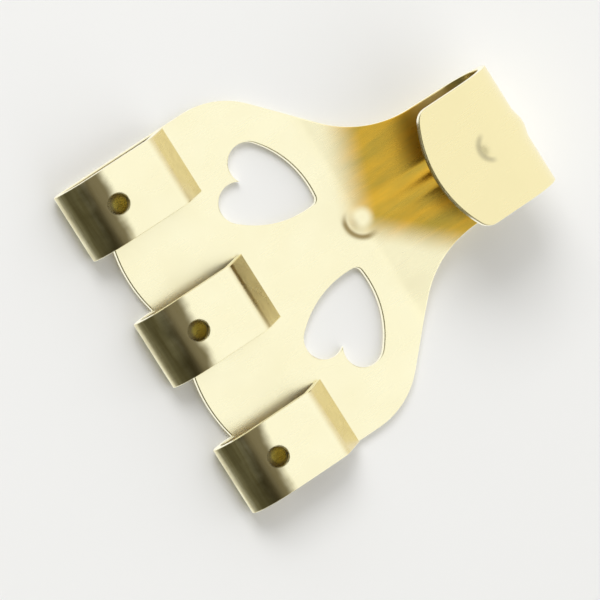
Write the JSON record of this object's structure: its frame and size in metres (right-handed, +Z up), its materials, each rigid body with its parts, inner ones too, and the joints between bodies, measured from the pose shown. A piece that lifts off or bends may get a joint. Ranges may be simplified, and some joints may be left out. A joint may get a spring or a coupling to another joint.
{
  "type": "picture hook",
  "caption": "Pressed sheet-metal picture hook with a row of folded nail loops, heart cut-outs and a ribbed U-bend.",
  "frame": {"origin": "centre of the row of nail exit holes, in the wall plane at the plate's back", "axes": "+Y into the wall, +Z up the wall, +X along the row of nail holes; the hook opens towards -Y and +Z"},
  "size_m": [0.0348, 0.0116, 0.0409],
  "materials": {
    "brass_plate": "polished brass plating on pressed steel"
  },
  "bodies": {
    "root": {"picture_hook": "brass_plate"}
  },
  "joints": []
}
